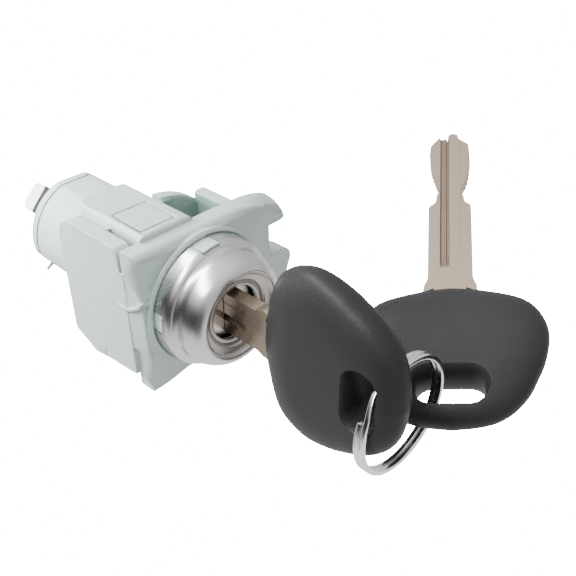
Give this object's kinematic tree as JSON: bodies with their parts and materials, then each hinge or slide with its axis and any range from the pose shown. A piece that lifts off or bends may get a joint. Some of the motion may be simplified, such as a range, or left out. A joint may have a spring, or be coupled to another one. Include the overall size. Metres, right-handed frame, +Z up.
{
  "type": "car door lock cylinder",
  "caption": "Flanged door lock cylinder with a key in its turning plug and a spare key hung on a split ring.",
  "frame": {"origin": "on the lock axis, in the plane of the front opening's rim", "axes": "+Y along the lock axis to the rear (the key goes in along +Y), +Z up towards the flange's flat top and the block, +X to the flange's wing, on the right when seen from the front; the key's blade is upright at rest"},
  "size_m": [0.0804, 0.1096, 0.0342],
  "materials": {
    "die_cast_zinc": "satin zinc die casting, slightly blue-green",
    "bright_chrome": "polished plating",
    "cast_brass": "machined",
    "black_rubber": "matt",
    "spring_steel": "drawn wire",
    "zinc_plated_steel": "plated",
    "nickel_silver": "milled and plated, warm grey",
    "bright_steel": "polished",
    "black_plastic": "satin moulded"
  },
  "bodies": {
    "lock_body": {"housing": "die_cast_zinc", "bezel": "bright_chrome", "front_ring": "bright_chrome", "plug_seal": "black_rubber", "rear_cap": "die_cast_zinc", "return_spring": "spring_steel"},
    "turning_plug": {"plug": "cast_brass", "face_plate": "bright_chrome", "wafer_1": "cast_brass", "wafer_2": "cast_brass", "wafer_3": "cast_brass", "wafer_4": "cast_brass", "wafer_5": "cast_brass", "wafer_6": "cast_brass", "wafer_7": "cast_brass", "wafer_8": "cast_brass", "wafer_springs": "spring_steel", "retaining_clip": "spring_steel", "rotor": "zinc_plated_steel", "drive_pin": "zinc_plated_steel", "tail_blade": "zinc_plated_steel"},
    "key_in_lock": {"key_1_blade": "nickel_silver", "key_1_bow": "black_plastic"},
    "split_ring": {"key_ring": "bright_steel"},
    "spare_key": {"key_2_blade": "nickel_silver", "key_2_bow": "black_plastic"}
  },
  "joints": [
    {"name": "plug_turn", "type": "hinge", "parent": "lock_body", "child": "turning_plug", "pos_m": [0, 0, 0], "axis": [0, 1, 0], "range_deg": [-60, 60], "stiffness_Nm_per_rad": 0.12},
    {"name": "key_slide", "type": "slide", "parent": "turning_plug", "child": "key_in_lock", "axis": [0, -1, 0], "range_m": [0, 0.036]},
    {"name": "ring_swing", "type": "hinge", "parent": "key_in_lock", "child": "split_ring", "pos_m": [0.0054, -0.0317, -0.007], "axis": [0, -1, 0], "range_deg": [0, 6]},
    {"name": "spare_swing", "type": "hinge", "parent": "split_ring", "child": "spare_key", "pos_m": [0.0054, -0.0317, -0.007], "axis": [0, -1, 0], "range_deg": [0, 6]}
  ]
}
